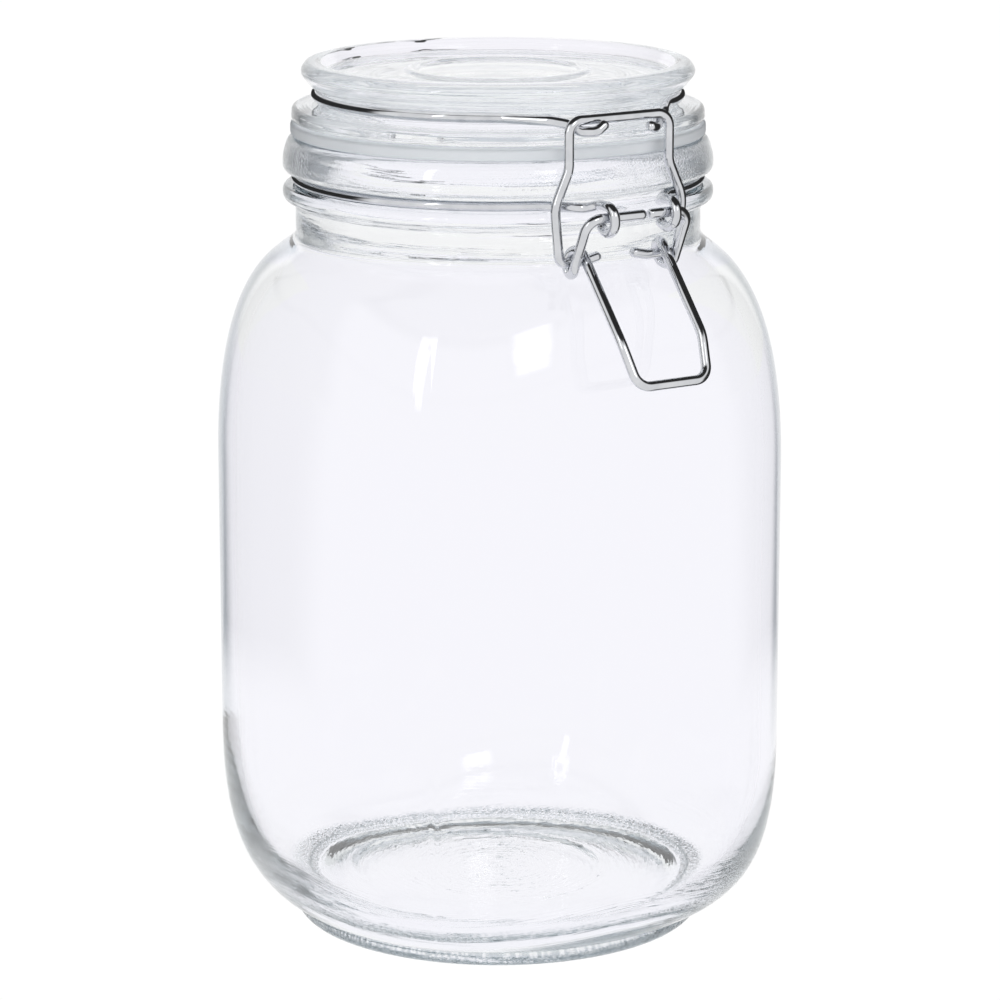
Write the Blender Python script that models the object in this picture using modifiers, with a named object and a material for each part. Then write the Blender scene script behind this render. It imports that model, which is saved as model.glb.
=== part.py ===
"""A clip-top storage jar of clear glass: body, lid, rubber ring and the sprung wire clasp.

Everything is in metres with +Z up. Places on the jar are given as (across, out, up): across
is +X, out is measured from the jar's own axis towards the clasp (-Y), up is from the table.
"""

import bpy
import bmesh
from math import acos, asin, atan2, ceil, cos, degrees, pi, radians, sin, sqrt, tan
from mathutils import Vector

MM = 0.001

# ---- glass: radii and heights in millimetres -------------------------------------------
SEGMENTS = 48                  # facets round every turned shape
BODY_HALF = 61.0               # half the width across the flats of the rounded-square body
BODY_EXPONENT = 2.7            # 2 is a circle, larger is squarer
WALL = 3.5
NECK_R = 46.9
BASE_RING_R = 48.2
CORNER_TOP = 45.0              # height at which the base corner has become the side wall
CORNER_POWER = 2.3             # 2 is an ellipse, larger is fuller
SHOULDER_FOOT = 110.0          # height at which the side wall starts to draw in
SHOULDER_TOP = 160.9
SHOULDER_POWER = 2.0
BEAD_R, BEAD_Z = 49.8, 173.1   # the bead under the wire's groove
GROOVE_R, GROOVE_Z = 45.0, 176.35
LIP_R, LIP_TOP = 49.7, 186.0
MOUTH_R = 40.3
FLOOR_Z, FLOOR_R = 8.4, 43.0
FLOOR_RING_R = 27.0            # inside this the floor is level
PUNT = 3.0                     # rise of the underside inside the bearing ring
FOOT_IN, FOOT_OUT = 44.3, 46.9 # the flat ring that the jar stands on

# ---- lid and rubber ring ---------------------------------------------------------------
GAP = 0.3                      # what touches is drawn this far apart
GASKET_THICK = 2.8
GASKET_R = 47.9
FLANGE_R, FLANGE_THICK = 47.8, 3.4
LID_GROOVE_R, LID_WIRE_Z = 40.4, 195.3
LID_RIM_R, LID_TOP = 45.6, 203.0
DISH_R, DISH_Z = 40.0, 200.6
PLUG_R, PLUG_Z = 39.2, 183.4   # the ring under the lid that enters the mouth
PLUG_WIDE = 6.4
HOLLOW_R, HOLLOW_RISE = 30.0, 8.6      # the hollow inside that ring
EMBOSS_R, EMBOSS_WIDE, EMBOSS_RISE = 18.6, 3.0, 0.5     # raised circle on top of the lid

# ---- wire work -------------------------------------------------------------------------
WIRE_R = 1.15
CURL_R = 2.6                   # centre-line radius of a coil or eye round another wire
RING_STEP, CURL_STEP, BEND_STEP = 7, 28, 24             # degrees between points on the wires
NECK_WIRE_R = 46.6
LID_WIRE_R = 41.9
PIVOT_OUT, PIVOT_UP = 57.5, 174.8      # lever in the neck wire's eyes
COIL_OUT, COIL_UP = 49.7, 164.2        # link in the lever's coils
HINGE_OUT, HINGE_UP = -54.0, 184.0     # lid wire in the neck wire's hooks, at the back
NECK_EXIT = 17.0               # how far across the neck wire turns off its ring
EYE_ACROSS = 8.4
EYE_START = -145               # degrees round the lever's stub, from straight out
CRANK_ACROSS = 13.4
ARM_ACROSS = 10.7
ELBOW = (10.7, 66.9, 148.6)    # the arm's bend: across, out, up
HANDLE_OUT, HANDLE_UP, HANDLE_HALF = 71.3, 139.4, 9.2
LEFT_STUB, RIGHT_STUB = 1.6, 2.6       # where the lever's two ends nearly meet
LINK_TOP, LINK_TOP_HALF = 195.6, 13.3
LINK_NARROW_UP = 184.8         # below this the legs spread
LINK_WIDE_HALF, LINK_WIDE_UP = 17.0, 176.8
LINK_FOOT_HALF = 15.8
LINK_LEFT_TIP, LINK_RIGHT_TIP, LINK_TIP_RISE = 5.2, 3.5, 0.9
HOOK_ACROSS = 7.5              # the neck wire's hooks over the hinge bar
HOOK_DROP = 4.6                # how far the hooks' ends hang below the hinge bar
HINGE_BAR_HALF = 11.0
LID_WIRE_END = (13.6, 46.9)    # beside the link's bar
LID_WIRE_EXIT = (22.4, 35.5)   # where it turns off its ring

# The clasp reaches further forward than the body does back, so the jar's axis lies behind
# the origin, which is the middle of the whole outline on the table.
AXIS_Y = (HANDLE_OUT + WIRE_R - BODY_HALF) / 2


def place(across, out, up):
    """A point beside the jar's axis, in metres."""
    return Vector((across, AXIS_Y - out, up)) * MM


def material(name, colour, roughness, metallic=0.0, transmission=0.0, ior=1.5):
    mat = bpy.data.materials.new(name)
    mat.use_nodes = True
    shader = mat.node_tree.nodes["Principled BSDF"]
    shader.inputs["Base Color"].default_value = (*colour, 1.0)
    shader.inputs["Roughness"].default_value = roughness
    shader.inputs["Metallic"].default_value = metallic
    shader.inputs["Transmission Weight"].default_value = transmission
    shader.inputs["IOR"].default_value = ior
    return mat


def finish_object(name, data, collection, mat, pivot=None):
    """Link an object whose mesh or curve was drawn in world places, and hang it on a pivot."""
    obj = bpy.data.objects.new(name, data)
    collection.objects.link(obj)
    data.materials.append(mat)
    if pivot is not None:
        obj.parent = pivot
        obj.matrix_parent_inverse.identity()
        origin = pivot["origin"]
        obj.location = Vector((-origin[0], -origin[1], -origin[2]))
    return obj


def pivot_empty(name, point, collection, carrier=None):
    empty = bpy.data.objects.new(name, None)
    empty.empty_display_size = 0.01
    empty["origin"] = tuple(point)
    empty.location = point
    if carrier is not None:
        empty.parent = carrier
        empty.location = point - Vector(carrier["origin"])
    collection.objects.link(empty)
    return empty


def shade(mesh, angle):
    mesh.shade_smooth()
    mesh.set_sharp_from_angle(angle=radians(angle))


# ---- the glass body: a loft of round and rounded-square rings ---------------------------
def quarter(r_in, r_out, z_flat, z_wall, power, steps):
    """A superellipse quarter from the level (r_in, z_flat) to the upright (r_out, z_wall)."""
    rings = []
    for i in range(steps + 1):
        turn = pi / 2 * i / steps
        reach, drop = sin(turn) ** (2 / power), cos(turn) ** (2 / power)
        z = z_wall + (z_flat - z_wall) * drop
        square = reach * reach * (3 - 2 * reach)
        rings.append((r_in + (r_out - r_in) * reach, square, z))
    return rings


def round_rings(points):
    return [(r, 0.0, z) for r, z in points]


def body_rings():
    """Rings (half width, squareness, height) from under the base, over the lip, to the floor."""
    inner_half = BODY_HALF - WALL
    under = round_rings([(24.0, PUNT), (38.0, PUNT * 0.6), (FOOT_IN, 0.0), (FOOT_OUT, 0.0)])
    ring = round_rings([(BASE_RING_R - 0.3, 0.7), (BASE_RING_R, 1.8), (BASE_RING_R - 1.2, 3.5)])
    corner = quarter(BASE_RING_R - 1.3, BODY_HALF, 3.6, CORNER_TOP, CORNER_POWER, 8)[1:]
    shoulder = quarter(NECK_R, BODY_HALF, SHOULDER_TOP, SHOULDER_FOOT, SHOULDER_POWER, 9)[:0:-1]
    throat = round_rings([(NECK_R + 0.5, SHOULDER_TOP + 0.5), (NECK_R, SHOULDER_TOP + 2.2),
                          (NECK_R, BEAD_Z - 2.4)])
    bead = round_rings([(BEAD_R - 0.9, BEAD_Z - 1.6), (BEAD_R, BEAD_Z - 0.5),
                        (BEAD_R, BEAD_Z + 0.6), (BEAD_R - 0.9, BEAD_Z + 1.5)])
    groove = round_rings([(GROOVE_R + 0.6, GROOVE_Z - 1.4), (GROOVE_R, GROOVE_Z - 0.7),
                          (GROOVE_R, GROOVE_Z + 0.7), (GROOVE_R + 0.6, GROOVE_Z + 1.4)])
    lip = round_rings([(LIP_R - 1.4, GROOVE_Z + 1.6), (LIP_R - 0.3, GROOVE_Z + 2.3),
                       (LIP_R, GROOVE_Z + 3.6), (LIP_R - 0.4, LIP_TOP - 3.8),
                       (LIP_R - 1.5, LIP_TOP - 1.3), (LIP_R - 3.3, LIP_TOP),
                       (MOUTH_R + 1.2, LIP_TOP), (MOUTH_R, LIP_TOP - 1.2)])
    inner_throat = round_rings([(MOUTH_R, SHOULDER_TOP + 2.0), (MOUTH_R + 1.0, SHOULDER_TOP - 2.6)])
    inner_shoulder = quarter(NECK_R - WALL, inner_half, SHOULDER_TOP - WALL, SHOULDER_FOOT,
                             SHOULDER_POWER, 7)[1:]
    inner_corner = quarter(FLOOR_R, inner_half, FLOOR_Z, CORNER_TOP, CORNER_POWER, 6)[::-1]
    floor = round_rings([(FLOOR_RING_R + 4.0, FLOOR_Z - 0.7), (FLOOR_RING_R, FLOOR_Z)])
    outside = under + ring + corner + shoulder + throat + bead + groove + lip
    return outside + inner_throat + inner_shoulder + inner_corner + floor


def section(half, square, z):
    """One ring: a superellipse whose flats face the clasp, its back and its two sides."""
    power = 2 + (BODY_EXPONENT - 2) * square
    points = []
    for i in range(SEGMENTS):
        turn = 2 * pi * i / SEGMENTS
        c, s = cos(turn), sin(turn)
        radius = half / (abs(c) ** power + abs(s) ** power) ** (1 / power)
        points.append(place(radius * c, radius * s, z))
    return points


def make_body(collection, mat):
    bm = bmesh.new()
    rings = [[bm.verts.new(p) for p in section(*ring)] for ring in body_rings()]
    for low, high in zip(rings, rings[1:]):
        for i in range(SEGMENTS):
            j = (i + 1) % SEGMENTS
            bm.faces.new((low[i], low[j], high[j], high[i]))
    for ring in (rings[0], rings[-1]):
        bm.faces.new(ring)
    bmesh.ops.recalc_face_normals(bm, faces=bm.faces)
    bmesh.ops.triangulate(bm, faces=[f for f in bm.faces if len(f.verts) > 4])
    mesh = bpy.data.meshes.new("jar_body")
    bm.to_mesh(mesh)
    bm.free()
    shade(mesh, 35)
    return finish_object("jar_body", mesh, collection, mat)


# ---- turned pieces ----------------------------------------------------------------------
def turned(name, profile, closed, collection, mat, pivot):
    """A profile of (radius, height) points, outer side downwards, screwed round the axis."""
    mesh = bpy.data.meshes.new(name)
    edges = [(i, i + 1) for i in range(len(profile) - 1)]
    if closed:
        edges.append((len(profile) - 1, 0))
    mesh.from_pydata([(r * MM, 0.0, z * MM) for r, z in profile], edges, [])
    obj = finish_object(name, mesh, collection, mat, pivot)
    obj.location += Vector((0, AXIS_Y * MM, 0))
    screw = obj.modifiers.new("turn", "SCREW")
    screw.axis = "Z"
    screw.steps = screw.render_steps = SEGMENTS
    screw.use_merge_vertices = True
    screw.merge_threshold = 0.0001 * MM
    screw.use_smooth_shade = True
    return obj


def lid_profile():
    flange_low = LIP_TOP + GAP + GASKET_THICK + GAP
    flange_top = flange_low + FLANGE_THICK
    groove_low, groove_top = flange_top + 0.9, LID_WIRE_Z + 1.6
    return [
        (0.0, DISH_Z), (EMBOSS_R, DISH_Z), (EMBOSS_R + 0.7, DISH_Z + EMBOSS_RISE),
        (EMBOSS_R + EMBOSS_WIDE - 0.7, DISH_Z + EMBOSS_RISE), (EMBOSS_R + EMBOSS_WIDE, DISH_Z),
        (DISH_R - 1.0, DISH_Z), (DISH_R + 0.2, DISH_Z + 1.9), (DISH_R + 1.0, LID_TOP),
        (LID_RIM_R - 2.1, LID_TOP), (LID_RIM_R - 0.5, LID_TOP - 1.0),
        (LID_RIM_R, LID_TOP - 2.4), (LID_RIM_R - 0.7, LID_TOP - 3.6),
        (LID_GROOVE_R + 2.2, groove_top), (LID_GROOVE_R + 0.3, groove_top - 0.5),
        (LID_GROOVE_R, LID_WIRE_Z), (LID_GROOVE_R + 0.3, groove_low + 0.4),
        (LID_GROOVE_R + 1.4, groove_low - 0.6), (FLANGE_R - 1.4, flange_top),
        (FLANGE_R - 0.3, flange_top - 0.7), (FLANGE_R, flange_low + 1.5),
        (FLANGE_R - 0.5, flange_low), (PLUG_R, flange_low),
        (PLUG_R - 1.0, PLUG_Z + 0.9), (PLUG_R - 2.0, PLUG_Z), (PLUG_R - PLUG_WIDE + 1.0, PLUG_Z),
        (PLUG_R - PLUG_WIDE, PLUG_Z + 0.9), (HOLLOW_R, PLUG_Z + HOLLOW_RISE),
        (HOLLOW_R - 6.0, PLUG_Z + HOLLOW_RISE + 2.2), (0.0, PLUG_Z + HOLLOW_RISE + 3.2),
    ]


def gasket_profile():
    low = LIP_TOP + GAP
    high = low + GASKET_THICK
    inner = MOUTH_R + 0.3
    return [(inner, high), (GASKET_R - 0.5, high), (GASKET_R, high - 0.6),
            (GASKET_R, low + 0.6), (GASKET_R - 0.5, low), (inner, low)]


# ---- wire pieces ------------------------------------------------------------------------
def rounded(corners):
    """Turn corners [(point, bend radius in mm)] into a path whose corners are arcs."""
    path = [corners[0][0]]
    for (before, _), (corner, bend), (after, _) in zip(corners, corners[1:], corners[2:]):
        radius = bend * MM
        back, ahead = (before - corner).normalized(), (after - corner).normalized()
        turn = pi - back.angle(ahead)
        if radius == 0 or turn < radians(2):
            path.append(corner)
            continue
        reach = radius * tan(turn / 2)
        centre = corner + (back + ahead).normalized() * radius / cos(turn / 2)
        start = (corner + back * reach - centre).normalized()
        end = (corner + ahead * reach - centre).normalized()
        steps = max(2, ceil(turn / radians(BEND_STEP)))
        for i in range(steps + 1):
            path.append(centre + start.slerp(end, i / steps) * radius)
    path.append(corners[-1][0])
    return path


def ring_arc(radius, up, first, last):
    """Points on a ring round the jar; angles in degrees from the clasp, towards +X."""
    count = max(2, ceil(abs(last - first) / RING_STEP))
    angles = [radians(first + (last - first) * i / count) for i in range(count + 1)]
    return [place(radius * sin(a), radius * cos(a), up) for a in angles]


def curl(centre_out, centre_up, across_from, across_to, turn_from, turn_to):
    """Points round another wire's axis, in degrees from straight out towards up."""
    count = max(2, ceil(abs(turn_to - turn_from) / CURL_STEP))
    points = []
    for i in range(count + 1):
        share = i / count
        turn = radians(turn_from + (turn_to - turn_from) * share)
        across = across_from + (across_to - across_from) * share
        points.append(place(across, centre_out + CURL_R * cos(turn), centre_up + CURL_R * sin(turn)))
    return points


def mirrored(points):
    return [Vector((-p.x, p.y, p.z)) for p in reversed(points)]


def thinned(path, shortest=0.25 * MM):
    """Drop points that fall on the one before."""
    kept = [path[0]]
    for point in path[1:]:
        if (point - kept[-1]).length > shortest:
            kept.append(point)
    return kept


def wire(name, path, collection, mat, pivot=None):
    path = thinned(path)
    curve = bpy.data.curves.new(name, "CURVE")
    curve.dimensions = "3D"
    curve.bevel_depth = WIRE_R * MM
    curve.bevel_resolution = 2
    curve.use_fill_caps = True
    spline = curve.splines.new("POLY")
    spline.points.add(len(path) - 1)
    for point, co in zip(spline.points, path):
        point.co = (*co, 1.0)
    return finish_object(name, curve, collection, mat, pivot)


def neck_wire_path():
    """From the clasp's middle towards +X: eye, groove, then the hook over the hinge bar."""
    eye = curl(PIVOT_OUT, PIVOT_UP, EYE_ACROSS, EYE_ACROSS, EYE_START, 90)
    eye_top = PIVOT_UP + CURL_R
    groove = ring_arc(NECK_WIRE_R, GROOVE_Z, 28, 152)
    exit_out = sqrt(NECK_WIRE_R ** 2 - NECK_EXIT ** 2)
    leave = rounded([
        (eye[-1], 0), (place(EYE_ACROSS, PIVOT_OUT - 3.1, eye_top), 3),
        (place(EYE_ACROSS + 1.4, LIP_R + 1.6, GROOVE_Z), 4),
        (place(NECK_EXIT, exit_out, GROOVE_Z), 6), (groove[0], 0)])[1:-1]
    riser = HINGE_OUT - CURL_R
    inner_drop = HINGE_OUT + CURL_R
    rise = rounded([
        (groove[-1], 0), (place(NECK_EXIT, -exit_out, GROOVE_Z), 6),
        (place(HOOK_ACROSS + 2.5, -LIP_R - 3.3, GROOVE_Z), 4),
        (place(HOOK_ACROSS, riser, GROOVE_Z + 1.0), 2), (place(HOOK_ACROSS, riser, HINGE_UP), 0)])[1:]
    over = curl(HINGE_OUT, HINGE_UP, HOOK_ACROSS, HOOK_ACROSS, 180, 0)
    drop = rounded([(over[-1], 0), (place(HOOK_ACROSS, inner_drop, HINGE_UP - HOOK_DROP), 2),
                    (place(0, inner_drop, HINGE_UP - HOOK_DROP), 0)])[1:]
    half = eye + leave + groove + rise + over + drop
    return half + mirrored(half)[1:]


def lid_wire_path():
    """From beside the link's bar, round the lid's groove, to the hinge bar at the back."""
    groove = ring_arc(LID_WIRE_R, LID_WIRE_Z, 40, 154)
    leave = rounded([(place(*LID_WIRE_END, LID_WIRE_Z), 0),
                     (place(*LID_WIRE_EXIT, LID_WIRE_Z), 10), (groove[0], 0)])[:-1]
    back = rounded([
        (groove[-1], 0), (place(HINGE_BAR_HALF + 5.0, 3.2 - LID_WIRE_R, LID_WIRE_Z), 5),
        (place(HINGE_BAR_HALF + 0.4, HINGE_OUT + 7.0, LID_WIRE_Z), 4),
        (place(HINGE_BAR_HALF, HINGE_OUT + 0.8, LID_WIRE_Z - 1.2), 3),
        (place(HINGE_BAR_HALF, HINGE_OUT, HINGE_UP), 2), (place(0, HINGE_OUT, HINGE_UP), 0)])[1:]
    half = leave + groove + back
    return half + mirrored(half)[1:]


def link_half(tip):
    """Stub in the lever's coil, leg, shoulder, and half of the top bar."""
    return rounded([
        (place(tip, COIL_OUT, COIL_UP + LINK_TIP_RISE), 0),
        (place(tip + 4, COIL_OUT, COIL_UP), 3), (place(LINK_FOOT_HALF, COIL_OUT, COIL_UP), 1.8),
        (place(LINK_WIDE_HALF, COIL_OUT, LINK_WIDE_UP), 8),
        (place(LINK_TOP_HALF, COIL_OUT, LINK_NARROW_UP), 6),
        (place(LINK_TOP_HALF, COIL_OUT, LINK_TOP), 3), (place(0, COIL_OUT, LINK_TOP), 0)])


def link_path():
    """The locking loop, whose two stubs differ a little in length."""
    return link_half(LINK_RIGHT_TIP) + mirrored(link_half(LINK_LEFT_TIP))[1:]


def lever_half(stub_end):
    """Stub in the neck wire's eye, crank, coil round the link, arm, half of the handle's end."""
    span = sqrt((PIVOT_OUT - COIL_OUT) ** 2 + (PIVOT_UP - COIL_UP) ** 2)
    to_coil = atan2(COIL_UP - PIVOT_UP, COIL_OUT - PIVOT_OUT)
    meets = degrees(to_coil + asin(CURL_R / span) + pi / 2)      # the crank runs into the coil
    reach = sqrt((ELBOW[1] - COIL_OUT) ** 2 + (ELBOW[2] - COIL_UP) ** 2)
    to_elbow = atan2(ELBOW[2] - COIL_UP, ELBOW[1] - COIL_OUT)
    leaves = degrees(to_elbow + acos(CURL_R / reach))            # and leaves it for the elbow
    leaves -= 360 * ceil((leaves - meets) / 360)
    coil = curl(COIL_OUT, COIL_UP, CRANK_ACROSS, ARM_ACROSS, meets, leaves)
    crank = rounded([(place(stub_end, PIVOT_OUT, PIVOT_UP), 0),
                     (place(CRANK_ACROSS, PIVOT_OUT, PIVOT_UP), 3.4), (coil[0], 0)])[:-1]
    arm = rounded([(coil[-1], 0), (place(*ELBOW), 12),
                   (place(HANDLE_HALF, HANDLE_OUT, HANDLE_UP), 3.6),
                   (place(0, HANDLE_OUT, HANDLE_UP), 0)])[1:]
    return crank + coil + arm


def lever_path():
    """The long stub comes from -X and ends just past the middle, where the short one starts."""
    return lever_half(RIGHT_STUB) + mirrored(lever_half(-LEFT_STUB))[1:]


def main():
    for obj in list(bpy.data.objects):
        bpy.data.objects.remove(obj, do_unlink=True)
    jar = bpy.data.collections.new("clip_top_jar")
    bpy.context.scene.collection.children.link(jar)

    glass = material("soda_lime_glass", (0.93, 0.96, 0.96), 0.02, transmission=1.0, ior=1.5)
    rubber = material("pale_silicone_rubber", (0.76, 0.80, 0.83), 0.45)
    steel = material("bright_plated_steel", (0.74, 0.75, 0.77), 0.18, metallic=1.0)

    lid_hinge = pivot_empty("lid_hinge_axis", place(0, HINGE_OUT, HINGE_UP), jar)
    lever_pivot = pivot_empty("lever_pivot_axis", place(0, PIVOT_OUT, PIVOT_UP), jar)
    link_pivot = pivot_empty("link_pivot_axis", place(0, COIL_OUT, COIL_UP), jar, lever_pivot)

    make_body(jar, glass)
    wire("neck_wire", neck_wire_path(), jar, steel)
    turned("lid", lid_profile(), False, jar, glass, lid_hinge)
    turned("gasket", gasket_profile(), True, jar, rubber, lid_hinge)
    wire("lid_wire", lid_wire_path(), jar, steel, lid_hinge)
    wire("lever", lever_path(), jar, steel, lever_pivot)
    wire("link", link_path(), jar, steel, link_pivot)


main()
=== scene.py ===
# Looks of an empty clip top jar: clear pressed glass, a pale rubber ring and bright wire.
# Lengths are in millimetres up to gridMesh, which turns them to metres.
from math import atan, cos, degrees, pi, radians, sin, sqrt

import bpy
import numpy as np
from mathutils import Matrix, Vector


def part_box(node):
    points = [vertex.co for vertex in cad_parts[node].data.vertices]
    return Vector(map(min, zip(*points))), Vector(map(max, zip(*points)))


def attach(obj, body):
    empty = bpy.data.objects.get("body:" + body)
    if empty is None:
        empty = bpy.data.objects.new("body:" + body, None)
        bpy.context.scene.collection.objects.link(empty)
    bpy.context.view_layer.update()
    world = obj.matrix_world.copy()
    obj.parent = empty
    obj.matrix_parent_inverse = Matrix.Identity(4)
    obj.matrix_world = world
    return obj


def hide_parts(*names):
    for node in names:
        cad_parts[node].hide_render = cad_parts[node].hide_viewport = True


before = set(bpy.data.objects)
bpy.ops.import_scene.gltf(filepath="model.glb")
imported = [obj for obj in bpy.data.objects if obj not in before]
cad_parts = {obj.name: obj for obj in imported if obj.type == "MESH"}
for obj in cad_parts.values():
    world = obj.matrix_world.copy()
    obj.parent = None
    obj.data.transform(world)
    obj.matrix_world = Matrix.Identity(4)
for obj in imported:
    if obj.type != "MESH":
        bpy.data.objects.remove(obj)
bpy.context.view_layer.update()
print("frame loaded:", ", ".join(sorted(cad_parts)))

mm = 0.001


def nodeBox(node):  # lowest and highest corner of a frame node, in millimetres
    low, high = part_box(node)
    return np.array(low) / mm, np.array(high) / mm


bodyLow, bodyHigh = nodeBox("jar_body")
_, lidHigh = nodeBox("lid")
ringLow, ringHigh = nodeBox("gasket")
axisY = (bodyLow[1] + bodyHigh[1]) / 2  # the jar's own axis stands behind the origin
bodyHalf = (bodyHigh[0] - bodyLow[0]) / 2
lipTop = bodyHigh[2]
poleRing = 0.5  # radius of the small ring that is left round a pole


# A place beside the jar's axis: across is +X, out is towards the clip, up is from the table.
def place(across, out, up):
    return np.array([across, axisY - out, up], float)


# Corners (point, bend radius) joined by straight legs, each corner replaced by the arc of that
# radius which touches both legs: centre = corner + bisector * radius / cos(turn / 2).
def bendPath(corners, degreesPerStep=6):
    path = [np.array(corners[0][0], float)[None]]
    for (before, _), (corner, bend), (after, _) in zip(corners, corners[1:], corners[2:]):
        corner = np.array(corner, float)
        back, ahead = np.array(before) - corner, np.array(after) - corner
        back, ahead = back / np.linalg.norm(back), ahead / np.linalg.norm(ahead)
        turn = pi - np.arccos(np.clip(back @ ahead, -1, 1))
        if bend == 0 or turn < radians(1):
            path.append(corner[None])
            continue
        bisector = (back + ahead) / np.linalg.norm(back + ahead)
        centre = corner + bisector * bend / cos(turn / 2)
        start = corner + back * bend * np.tan(turn / 2) - centre
        side = corner - centre
        side = side - start * (side @ start) / (start @ start)
        side = side / np.linalg.norm(side) * bend
        angle = np.linspace(0, turn, max(3, int(np.ceil(degrees(turn) / degreesPerStep)) + 1))
        path.append(centre + np.outer(np.cos(angle), start) + np.outer(np.sin(angle), side))
    path.append(np.array(corners[-1][0], float)[None])
    return np.concatenate(path)


# The same path at even steps, read off by its running length.
def evenSteps(path, step):
    runs = np.linalg.norm(np.diff(path, axis=0), axis=1)
    keep = np.concatenate([[True], runs > 1e-4])
    path = path[keep]
    length = np.concatenate([[0], np.cumsum(np.linalg.norm(np.diff(path, axis=0), axis=1))])
    stops = np.linspace(0, length[-1], int(np.ceil(length[-1] / step)) + 1)
    return np.stack([np.interp(stops, length, path[:, k]) for k in range(path.shape[1])], 1)


# Quarter of a superellipse from the level (rIn, zFlat) to the upright (rOut, zWall):
# ((r - rIn) / (rOut - rIn)) ** power + ((z - zWall) / (zFlat - zWall)) ** power = 1.
def superQuarter(rIn, rOut, zFlat, zWall, power, steps):
    turn = np.linspace(0, pi / 2, steps)
    reach, drop = np.sin(turn) ** (2 / power), np.cos(turn) ** (2 / power)
    return np.stack([rIn + (rOut - rIn) * reach, zWall + (zFlat - zWall) * drop,
                     reach * reach * (3 - 2 * reach)], 1)


def roundRows(points):  # rows (radius, height) of a circular stretch, squareness 0
    points = np.asarray(points, float)
    return np.concatenate([points, np.zeros((len(points), 1))], 1)


# A mesh from a grid of points (rows, columns, 3). Columns close on themselves. Rows close too,
# or each end runs to a pole at its ring's middle. The volume's sign decides which way faces look.
def gridMesh(name, grid, body, node, material, closeRows=False):
    rows, columns, _ = grid.shape
    index = np.arange(rows * columns).reshape(rows, columns)
    if closeRows:
        index = np.concatenate([index, index[:1]])
    a, b = index[:-1], np.roll(index, -1, 1)[:-1]
    quads = np.stack([a, b, np.roll(index, -1, 1)[1:], index[1:]], -1).reshape(-1, 4)
    points = grid.reshape(-1, 3)
    p = points[quads] - points.mean(0)
    volume = np.einsum("ij,ij->", p[:, 0], np.cross(p[:, 1], p[:, 2]) + np.cross(p[:, 2], p[:, 3]))
    flipped = volume < 0
    faceList = (quads[:, ::-1] if flipped else quads).tolist()
    if not closeRows:
        poles = np.stack([grid[0].mean(0), grid[-1].mean(0)])
        first, last = index[0], index[-1]
        total = rows * columns
        fan = np.concatenate([
            np.stack([np.roll(first, -1), first, np.full(columns, total)], 1),
            np.stack([last, np.roll(last, -1), np.full(columns, total + 1)], 1)])
        faceList += (fan[:, ::-1] if flipped else fan).tolist()
        points = np.concatenate([points, poles])
    mesh = bpy.data.meshes.new(name)
    mesh.from_pydata((points * mm).tolist(), [], faceList)
    mesh.shade_smooth()
    mesh.materials.append(material)
    piece = bpy.data.objects.new(name, mesh)
    bpy.context.scene.collection.objects.link(piece)
    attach(piece, body)
    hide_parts(node)
    print(f"{name}: {len(points)} points, stands for {node}")
    return mesh, flipped


def hexToLinear(text):
    channels = np.array([int(text[i:i + 2], 16) for i in (1, 3, 5)]) / 255
    linear = np.where(channels <= 0.04045, channels / 12.92, ((channels + 0.055) / 1.055) ** 2.4)
    return (*linear, 1.0)


# Adds a node. Settings are its own properties or, by socket, values of its inputs. A link joins
# an input to another node's first output, or to (other node, output).
def addNode(tree, kind, settings=None, links=None):
    node = tree.nodes.new("ShaderNode" + kind)
    for key, value in (settings or {}).items():
        if hasattr(node, str(key)):
            setattr(node, key, value)
        else:
            node.inputs[key].default_value = value
    for key, source in (links or {}).items():
        source, output = source if isinstance(source, tuple) else (source, 0)
        tree.links.new(source.outputs[output], node.inputs[key])
    return node


def newMaterial(name):
    material = bpy.data.materials.new(name)
    material.use_nodes = True
    material.node_tree.nodes.clear()
    return material, material.node_tree


smooth = {"interpolation_type": "SMOOTHSTEP"}  # a map range that eases in and out


def between(ends):  # the two values that a map range runs from and to
    return {"From Min": ends[0], "From Max": ends[1]}


glassLook = {
    "surface": "#FFFFFF",
    "rim": "#8D9499",         # painted shade: the grey that the outer wall's base colour takes where it is seen edge-on, a dark edge put in place of dark surroundings it would mirror
    "paintedEdgeFacing": (0.68, 0.79),  # how far edge-on the painted edge shade starts and is full, 1 being along the surface
    "scatter": "#B9C1C5",     # what roughened spots let through
    "ior": 1.52,
    "tint": "#E4EBEE",        # what is left of white light by the metal oxides in the melt
    "swellSize": 26.0, "swellDepth": 0.6, "swellShare": 0.15,  # mm; slow swells of a pressed wall
    "markSize": 1.1, "markDepth": 0.14,    # mm; turning marks of the mould, neck and base
    "markAround": 1.6,                     # how soon a mark ends on its way round
    "markShare": 0.55, "markLeast": 0.04,  # of the depth: where marks are full, and everywhere
    "markNeck": (160.0, 170.0), "markBase": (22.0, 8.0),  # mm up from the table
    "markReach": (35.0, 41.5), "markInside": 0.05,        # mm from the axis; what is left within
    "peelSize": 0.5, "peelDepth": 0.3,     # mm; dimples that a cold mould leaves on the lip
    "peelReach": 44.0, "peelPatch": 60.0,  # mm from the axis; patches a metre
    "patches": (0.35, 0.65), "peelNearSeam": 0.10, "seamFade": (0.78, 0.55),
    "seamWay": (-0.707, -0.707, 0),        # the peel and its grey grains fade towards the seams, this way and its opposite
    "stippleSize": 0.9, "stippleDepth": 0.18,  # mm; dots that roughen the bearing ring
    "stippleReach": 45.4, "stippleFull": 0.8,  # mm from the axis; share of its height that is full
    "grains": (0.50, 0.62), "dots": (0.30, 0.55),  # where peel and stipple take light away
}
glassParts = {                # density per metre of the tint; the lid's glass is the clearer one
    "pressedSodaLimeBody": {"density": 14.0, "peel": (176.5, 179.0), "stippleTop": 5.2},
    "pressedSodaLimeLid": {"density": 6.0, "peel": (210.0, 230.0), "stippleTop": 1.0},  # smooth
}


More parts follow.
